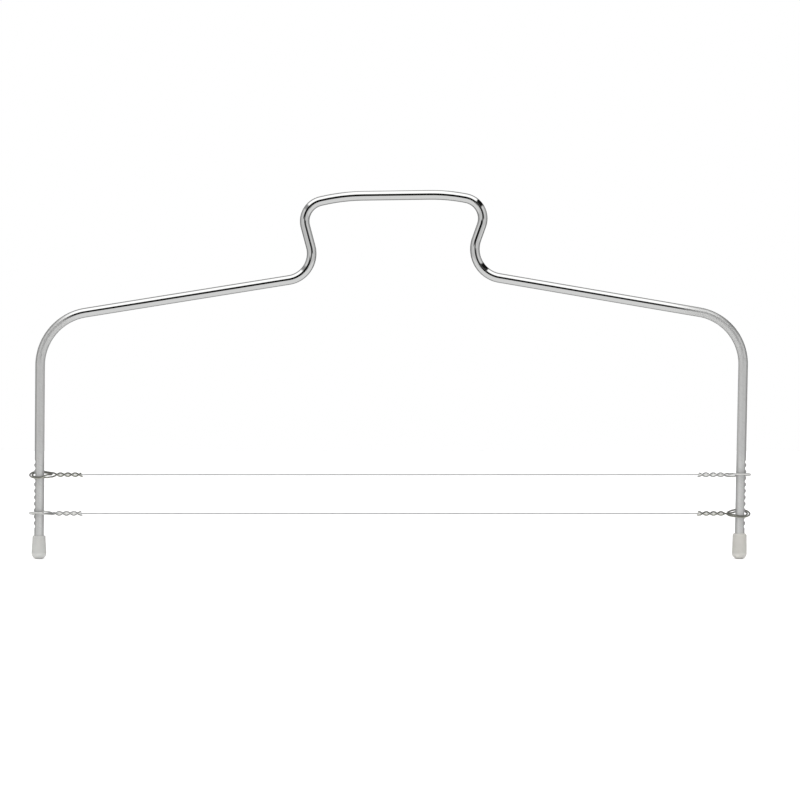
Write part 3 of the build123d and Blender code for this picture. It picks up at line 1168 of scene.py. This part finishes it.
@dataclass
class EndLoop:
    """One stiff wire, twice round the leg, with its ends twisted over the cutting wire.

    The inner turn is drawn out to the throat, between the two sides of the outer turn. The tilt
    is in degrees about the cutting wire.
    """

    legs: Legs
    level: Level
    side: Side
    tilt: float
    wire_radius: float = 0.000375
    core_radius: float = 0.000225
    core_clearance: float = 0.00016
    twist_length: float = 0.0126
    twist_pitch: float = 0.0069
    twist_stagger: float = 0.0005
    stations_in_turn: int = 4
    # the eye: reaches from the leg's axis towards the throat, and to the side
    throat_reach: float = 0.0078
    turn_gap: float = 0.00043
    eye_shift: float = 0.0003
    eye_clearance: float = 0.00038
    entry: tuple[float, float] = (0.0041, 0.00183)
    drawn_out: tuple[float, float] = (0.0040, 0.00150)
    return_reach: float = 0.0059
    return_side: float = 0.0001
    return_lift_share: float = 0.4
    crossing: tuple[float, float] = (0.0037, 0.00195)
    crossing_lift: float = 0.00062
    crossing_slope: float = 0.72
    leaving: tuple[float, float] = (0.00465, 0.00272)
    # the cut ends
    cut_slope: float = 0.55
    cut_round: float = 0.00006
    # how finely the mesh is cut
    around: int = 28
    turn_step: float = float(np.radians(7))
    run_step: float = 0.0005
    length_places: int = 8
    # where the crests are, which take painted shade
    twist_start: Fade = Fade(-0.0065, -0.0085)
    throat: Fade = Fade(-0.0036, -0.0056)
    crest_side: Fade = Fade(-0.00025, 0.00006)
    eye_side: Fade = Fade(-0.00006, 0.00018)
    upper_half: Fade = Fade(-0.0004, 0.0004)
    under_share: float = 0.8

    @property
    def twist_radius(self) -> float:
        """From the cutting wire's middle to the middle of a strand."""
        return self.core_radius + self.wire_radius + self.core_clearance

    def strand(self, turn_share: float, length: float) -> tuple[Array, Array]:
        """Stations of one twisted strand: a helix about the cutting wire, from the throat out.

        The place is (-throat - along, r cos(angle), r sin(angle)), and the heading is its slope.

        Args:
            turn_share: Where the strand begins, as a share of a turn.
            length: How far it runs along the cutting wire.

        Returns:
            Places and unit headings.
        """
        radius = self.twist_radius
        steps = round(self.stations_in_turn * length / self.twist_pitch)
        along = length * np.arange(steps + 1) / steps
        angles = 2 * np.pi * (along / self.twist_pitch + turn_share)
        rate = 2 * np.pi * radius / self.twist_pitch
        places = np.stack(
            [-self.throat_reach - along, radius * np.cos(angles), radius * np.sin(angles)], axis=-1
        )
        headings = np.stack(
            [-np.ones(steps + 1), -rate * np.sin(angles), rate * np.cos(angles)], axis=-1
        )
        return places, unit(headings)

    def route(self) -> Route:
        """The whole wire, from one cut end round the leg twice to the other cut end.

        From the first strand it comes in below the loop's plane, goes round the leg close to it,
        is drawn out to the throat on its way back, crosses over its own way in, and goes round
        the leg once more, outside, to the last strand. Each station of this stretch has its place
        and its heading.

        Returns:
            The route in the loop's own axes: x towards the leg, y across, z off its plane.
        """
        inner = self.legs.rod_radius + self.wire_radius + self.eye_clearance
        outer = inner + 2 * self.wire_radius + self.turn_gap
        entry_slope, exit_slope = (
            (reach - self.twist_radius) / self.throat_reach for reach in (inner, outer)
        )
        centre, lift = self.eye_shift, self.crossing_lift
        rise = lift * self.return_lift_share
        eye = [
            ((-self.entry[0], self.entry[1], -lift), (1, entry_slope, 0)),
            ((centre, inner, 0), (1, 0, 0)),
            ((centre + inner, 0, 0), (0, -1, 0)),
            ((centre, -inner, 0), (-1, 0, 0)),
            ((-self.drawn_out[0], -self.drawn_out[1], rise / 2), (-1, entry_slope, 0)),
            ((-self.return_reach, -self.return_side, rise), (0, 1, rise / self.return_reach)),
            ((-self.crossing[0], self.crossing[1], lift), (1, self.crossing_slope, 0)),
            ((centre, outer, 0), (1, 0, 0)),
            ((centre + outer, 0, 0), (0, -1, 0)),
            ((centre, -outer, 0), (-1, 0, 0)),
            ((-self.leaving[0], -self.leaving[1], 0), (-1, exit_slope, 0)),
        ]
        eye_places, eye_headings = (np.array(column, float) for column in zip(*eye))
        first_places, first_headings = self.strand(0, self.twist_length)
        last_places, last_headings = self.strand(HALF_TURN, self.twist_length - self.twist_stagger)
        places = np.concatenate([first_places[::-1], eye_places, last_places])
        headings = np.concatenate([-first_headings[::-1], unit(eye_headings), last_headings])
        return biarc_route(places, headings)

    def build(self, finish: Material) -> Thing:
        """Carry a circle along the route and lean the two cut ends.

        Each ring stands on the heading and on z made square to it. At a cut end the ring is
        sheared: each point moves along the heading by the slope times its height in the ring.

        Args:
            finish: The wire's material.

        Returns:
            The end loop.
        """
        route = self.route()
        stations = route.stations(self.run_step, self.turn_step)
        ends = [self.cut_round, route.length - self.cut_round]
        along = np.unique(np.round(np.concatenate([stations, ends]), self.length_places))
        centres, headings = route.at(along)
        above = unit(UPRIGHT - headings * (headings @ UPRIGHT)[:, None])
        angles = full_turn(self.around)
        radii = self.wire_radius - drawn_in(along, route.length, self.cut_round)
        near_end = np.exp(-np.minimum(along, route.length - along) / self.wire_radius)
        from_start = np.where(along < route.length / 2, 1, -1)
        shear = near_end * from_start * self.cut_slope * radii
        directions = spokes(angles, above, np.cross(above, headings))
        rings = centres[:, None] + radii[:, None, None] * directions
        rings += (shear[:, None] * (1 + np.cos(angles)))[:, :, None] * headings[:, None]
        # the share of painted shade at each point
        crest = self.crest(centres, rings)
        rings = self.placed(rings)
        name = f"{self.level.name.lower()}_{self.side.name.lower()}_loop"
        loop = skin(f"{name}_wire", rings, along)
        point_attribute(loop, "crest", crest)
        loop.data.materials.append(finish)
        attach(loop, name.replace("loop", "end"))
        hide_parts(name)
        return loop

    def crest(self, centres: Array, rings: Array) -> Array:
        """How much each point lies on a crest, which is its share of painted shade.

        In the twist the crests are the sides that point up or down away from the cutting wire,
        by how much farther than its strand's middle a point lies from the loop's plane; the painted
        shade there stands in for dark outlines of the strands. In the eye they are the top of the
        wire, where it is a painted contact shadow against the leg, and the underside too in the
        throat. The underside counts less than the top.

        Args:
            centres: The centre of each ring, in the loop's own axes.
            rings: The points of each ring.

        Returns:
            One share for each point.
        """
        height, middle = rings[:, :, 2], centres[:, None, 2]
        outer = smooth_step(np.abs(height) - np.abs(middle), self.crest_side)
        upper = self.under_share + (1 - self.under_share) * smooth_step(height, self.upper_half)
        top = smooth_step(height - middle, self.eye_side)
        under = smooth_step(middle - height, self.crest_side) * self.under_share
        eye = top + under * smooth_step(centres[:, None, 0], self.throat)
        return eye + (outer * upper - eye) * smooth_step(centres[:, None, 0], self.twist_start)

    def placed(self, points: Array) -> Array:
        """Turn points half a turn about Z for the left side, tilt them about X, move them to the leg.

        Args:
            points: Points in the loop's own axes.

        Returns:
            The points in the frame's axes.
        """
        x, y, z = (points[..., axis] for axis in range(3))
        x, y = self.side.value * x, self.side.value * y
        cosine, sine = np.cos(np.radians(self.tilt)), np.sin(np.radians(self.tilt))
        turned = np.stack([x, y * cosine - z * sine, y * sine + z * cosine], axis=-1)
        return turned + self.legs.place(self.side, self.legs.notch_height(self.level.value))


@dataclass
class Floor:
    """A flat white floor at zero, which keeps the shadow and shows plain white to the metal."""

    reach: float = 3.0
    front: float = 1.2
    near_light: float = 1.14
    far_light: float = 0.89
    behind_light: float = 0.42
    dark_light: float = 0.012
    camera_fill: float = 0.3
    paper: Colour = (0.82, 0.82, 0.82)
    distance: Fade = Fade(0.4, 0.9)
    behind: Fade = Fade(0.02, 0.15)
    viewer_depth: Fade = Fade(-0.68, -0.82)
    viewer_width: Fade = Fade(0.26, 0.18)

    def material(self) -> Material:
        """White paper, which shiny pieces see at plain light levels by place.

        The light falls off with distance and behind the tool, and it is dark in front, where
        the viewer stands.

        Returns:
            The material.
        """
        material, bench = new_material("floor_paper")
        place = bench.place()
        light = bench.add("ShaderNodeLightPath").outputs
        spot = bench.add("ShaderNodeSeparateXYZ", Vector=place).outputs
        away = bench.add("ShaderNodeVectorMath", {"operation": "LENGTH"}, in0=place).outputs[1]
        near = bench.blend(bench.step(away, self.distance), self.near_light, self.far_light)
        lit = bench.blend(bench.step(spot["Y"], self.behind), near, self.behind_light)
        across = bench.math("ABSOLUTE", spot["X"])
        viewer = bench.product(
            bench.step(spot["Y"], self.viewer_depth), bench.step(across, self.viewer_width)
        )
        level = bench.blend(viewer, lit, self.dark_light)
        mirrored = bench.add("ShaderNodeEmission", Strength=level)
        paper = bench.add("ShaderNodeBsdfDiffuse", Color=self.paper)
        fill = bench.add(
            "ShaderNodeEmission", Strength=bench.product(light["Is Camera Ray"], self.camera_fill)
        )
        seen = bench.add("ShaderNodeAddShader", in0=paper.outputs[0], in1=fill.outputs[0])
        mixed = bench.add(
            "ShaderNodeMixShader",
            in0=light["Is Glossy Ray"],
            in1=seen.outputs[0],
            in2=mirrored.outputs[0],
        )
        bench.add("ShaderNodeOutputMaterial", Surface=mixed.outputs[0])
        return material

    def build(self) -> Thing:
        """One square face at height zero.

        Returns:
            The floor.
        """
        side, front = self.reach, -self.front
        mesh = bpy.data.meshes.new("floor")
        corners = [(-side, front, 0), (side, front, 0), (side, side, 0), (-side, side, 0)]
        mesh.from_pydata(corners, [], [(0, 1, 2, 3)])
        mesh.materials.append(self.material())
        floor = in_scene("floor", mesh)
        return floor


@dataclass(frozen=True)
class Direction:
    """A direction seen from the tool, as outputs in degrees.

    It has its angle from the viewer's side, its roll about that axis from straight up, its
    height above the horizon and its turn to the right.
    """

    angle: Socket
    roll: Socket
    height: Socket
    turn: Socket


@dataclass
class Surroundings:
    """What surrounds the tool, by direction in degrees, with plain white for the camera."""

    # light levels
    overhead: float = 1.92
    side_light: float = 0.95
    low_side_light: float = 0.12
    behind_light: float = 0.46
    far_floor_light: float = 0.89
    below_light: float = 1.14
    dark_light: float = 0.012
    dim_light: float = 0.1
    # where each light begins and ends
    overhead_roll: Fade = Fade(60, 44)
    overhead_end: Fade = Fade(112, 90)
    overhead_dip: Fade = Fade(9, 3)
    overhead_dip_depth: float = 13.0
    side_end: Fade = Fade(60, 118)
    low_side: Fade = Fade(25, 2)
    under_side: Fade = Fade(-2, -16)
    under_end: Fade = Fade(90, 130)
    horizon: Fade = Fade(-7, 0)
    right_gap: tuple[Fade, Fade] = (Fade(36, 40), Fade(58, 54))
    left_gap: tuple[Fade, Fade] = (Fade(-60, -54), Fade(-42, -48))
    gap_reach: tuple[Fade, Fade] = (Fade(20, 30), Fade(150, 136))
    viewer_width: Fade = Fade(37, 32)
    viewer_left_spread: float = 0.14
    brim: Fade = Fade(-12, -10)
    brim_slopes: tuple[float, float] = (1.05, 1.3)
    brim_limit: float = 13.0
    dim_turn: Fade = Fade(3, 14)

    def build(self) -> bpy.types.World:
        """Set the world: a white light overhead, dark round the viewer, grey behind.

        The overhead light hangs within about 50 degrees of roll, with a dark gap at its right
        end and a grey one at its left end. The dark round the viewer ends downwards at a brim
        that rises to both sides.

        Returns:
            The world.
        """
        world = bpy.data.worlds.new("studio")
        world.use_nodes = True
        bpy.context.scene.world = world
        bench = Bench(world.node_tree)
        towards = self.towards(bench)
        shell = self.walls(bench, towards)
        shell = self.lamp(bench, towards, shell)
        shell = self.viewer(bench, towards, shell)
        camera = bench.add("ShaderNodeLightPath").outputs["Is Camera Ray"]
        background = bench.add(
            "ShaderNodeBackground", Color=WHITE, Strength=bench.blend(camera, shell, 1.0)
        )
        bench.add("ShaderNodeOutputWorld", Surface=background.outputs[0])
        return world

    def towards(self, bench: Bench) -> Direction:
        """The direction of each point of the world.

        Args:
            bench: The world's bench.

        Returns:
            Its four angles.
        """
        generated = bench.add("ShaderNodeTexCoord").outputs["Generated"]
        parts = bench.add("ShaderNodeSeparateXYZ", Vector=generated).outputs
        forward = bench.product(parts["Y"], -1.0)
        radians = [
            bench.math("ARCCOSINE", forward),
            bench.math("ARCTAN2", parts["X"], parts["Z"]),
            bench.math("ARCSINE", parts["Z"]),
            bench.math("ARCTAN2", parts["X"], forward),
        ]
        return Direction(*(bench.math("DEGREES", angle) for angle in radians))

    def walls(self, bench: Bench, towards: Direction) -> Socket:
        """The light level of the plain walls and the far floor, dimmer behind the tool.

        Args:
            bench: The world's bench.
            towards: The direction.

        Returns:
            The light level.
        """
        behind = bench.step(towards.angle, self.side_end)
        sides = bench.blend(behind, self.side_light, self.behind_light)
        raised = bench.math("ADD", sides, self.low_side_light)
        sides = bench.blend(bench.step(towards.height, self.low_side), raised, sides)
        below = bench.step(towards.height, self.under_side)
        below = bench.blend(below, self.far_floor_light, self.below_light)
        below = bench.blend(bench.step(towards.angle, self.under_end), below, self.behind_light)
        return bench.blend(bench.step(towards.height, self.horizon), below, sides)

    def lamp(self, bench: Bench, towards: Direction, shell: Socket) -> Socket:
        """The light level with the white light overhead and the two gaps at its ends.

        Args:
            bench: The world's bench.
            towards: The direction.
            shell: The light level so far.

        Returns:
            The light level.
        """
        tilt = bench.math("ABSOLUTE", towards.roll)
        dip = bench.step(tilt, self.overhead_dip)
        back = bench.math("MULTIPLY_ADD", dip, -self.overhead_dip_depth, towards.angle)
        over = bench.product(
            bench.step(tilt, self.overhead_roll), bench.step(back, self.overhead_end)
        )
        shell = bench.blend(over, shell, self.overhead)
        reach = bench.window(towards.angle, *self.gap_reach)
        right = bench.product(bench.window(towards.roll, *self.right_gap), reach)
        left = bench.product(bench.window(towards.roll, *self.left_gap), reach)
        shell = bench.blend(right, shell, self.dark_light)
        return bench.blend(left, shell, self.behind_light)

    def viewer(self, bench: Bench, towards: Direction, shell: Socket) -> Socket:
        """The light level with the dark round the viewer, above its brim.

        Args:
            bench: The world's bench.
            towards: The direction.
            shell: The light level so far.

        Returns:
            The light level.
        """
        clear, spread = towards.height, towards.angle
        right_turn = bench.math("MAXIMUM", towards.turn, 0.0)
        left_turn = bench.math("MAXIMUM", bench.product(towards.turn, -1.0), 0.0)
        for turn, slope in zip((right_turn, left_turn), self.brim_slopes):
            rise = bench.math("MINIMUM", turn, self.brim_limit)
            clear = bench.math("MULTIPLY_ADD", rise, -slope, clear)
        spread = bench.math("MULTIPLY_ADD", left_turn, -self.viewer_left_spread, spread)
        dark = bench.product(bench.step(spread, self.viewer_width), bench.step(clear, self.brim))
        dim = bench.step(towards.turn, self.dim_turn)
        return bench.blend(dark, shell, bench.blend(dim, self.dark_light, self.dim_light))


@dataclass
class Studio:
    """The camera, the floor, the surroundings and a soft lamp in front."""

    frame_width: float = 0.37696
    lens: float = 0.135
    sensor: float = 0.036
    aim_x: float = 0.00476
    aim_z: float = 0.07492
    far_clip: float = 20.0
    lamp_distance: float = 2.2
    lamp_height: float = 0.5
    lamp_size: float = 1.0
    lamp_share: float = 0.3

    def camera(self) -> Thing:
        """A camera straight in front, as far away as the frame's width and the lens ask.

        Returns:
            The camera.
        """
        data = bpy.data.cameras.new("camera")
        data.lens = self.lens * MILLIMETRES
        data.sensor_width = self.sensor * MILLIMETRES
        data.clip_end = self.far_clip
        camera = in_scene("camera", data)
        distance = self.frame_width * self.lens / self.sensor
        camera.location = (self.aim_x, -distance, self.aim_z)
        camera.rotation_euler = (np.pi / 2, 0, 0)
        bpy.context.scene.camera = camera
        return camera

    def front_lamp(self) -> Thing:
        """A soft square lamp in front, which the metal does not mirror.

        Its power makes a white surface that faces it send back lamp_share of plain white: share
        times pi squared times the distance squared.

        Returns:
            The lamp.
        """
        data = bpy.data.lights.new("front_lamp", "AREA")
        data.size = self.lamp_size
        data.energy = self.lamp_share * np.pi**2 * self.lamp_distance**2
        lamp = in_scene("front_lamp", data)
        rise = self.lamp_height - self.aim_z
        lamp.location = (self.aim_x, -self.lamp_distance, self.lamp_height)
        lamp.rotation_euler = (np.pi / 2 - np.arctan2(rise, self.lamp_distance), 0, 0)
        lamp.visible_glossy = False
        lamp.visible_camera = False
        return lamp

    def build(self) -> None:
        """Set the camera, the lamp, the floor, the world and the plain view transform."""
        self.camera()
        self.front_lamp()
        Floor().build()
        Surroundings().build()
        bpy.context.scene.view_settings.view_transform = "Standard"


@dataclass
class CakeLeveler:
    """The whole tool: frame, caps, wires and end loops. Pairs are for the left and right side."""

    legs: Legs = Legs()
    cap_heights: tuple[float, float] = (0.011, 0.0121)
    mouth_radii: tuple[float, float] = (0.003, 0.00325)
    mouth_rounds: tuple[float, float] = (0.00025, 0.00092)
    upper_tilts: tuple[float, float] = (21.0, -7.0)
    lower_tilts: tuple[float, float] = (-8.0, 23.0)
    chrome: ChromePlate = ChromePlate()
    left_plastic: CapPlastic = CapPlastic("left_cap_plastic")
    right_plastic: CapPlastic = CapPlastic(
        "right_cap_plastic",
        colour=(0.61, 0.60, 0.57),
        shade_colour=(0.51, 0.50, 0.47),
        cloud_colour=(0.45, 0.44, 0.41),
    )
    cutting_steel: CuttingSteel = CuttingSteel(
        "cutting_wire_steel",
        colour=(0.30, 0.30, 0.30),
        dark_colour=(0.25, 0.25, 0.25),
        edge_colour=(0.3, 0.3, 0.3),
        roughness=0.35,
    )
    bright_steel: LoopWire = LoopWire(
        "loop_wire_steel",
        colour=(0.72, 0.72, 0.70),
        dark_colour=(0.62, 0.62, 0.60),
        edge_colour=(0.05, 0.05, 0.05),
        roughness=0.36,
    )
    # the loop wire in a darker tone, for the upper left and lower right loops
    tarnished_steel: LoopWire = LoopWire(
        "tarnished_wire_steel",
        colour=(0.50, 0.50, 0.44),
        dark_colour=(0.40, 0.40, 0.35),
        edge_colour=(0.03, 0.03, 0.02),
        roughness=0.36,
        crest_shade_colour=(0.12, 0.12, 0.108),
    )

    def build(self) -> list[Thing]:
        """Build every piece.

        Returns:
            The pieces.
        """
        pieces = [FrameRod(self.legs).build(self.chrome.material())]
        plastics = (self.left_plastic.material(), self.right_plastic.material())
        caps = zip(Side, self.cap_heights, self.mouth_radii, self.mouth_rounds, plastics)
        for side, height, radius, rounding, plastic in caps:
            pieces.append(FootCap(self.legs, side, height, radius, rounding).build(plastic))
        cutting = self.cutting_steel.material()
        pieces += [CuttingWire(self.legs, level).build(cutting) for level in Level]
        bright, darker_finish = self.bright_steel.material(), self.tarnished_steel.material()
        loops = [
            (Level.UPPER, self.upper_tilts, (darker_finish, bright)),
            (Level.LOWER, self.lower_tilts, (bright, darker_finish)),
        ]
        for level, tilts, steels in loops:
            for side, tilt, steel in zip(Side, tilts, steels):
                pieces.append(EndLoop(self.legs, level, side, tilt).build(steel))
        return pieces


def main() -> None:
    """Build the studio and the tool."""
    logging.basicConfig(level=logging.INFO, format="%(name)s: %(message)s")
    Studio().build()
    for piece in CakeLeveler().build():
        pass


if __name__ == "__main__":
    main()
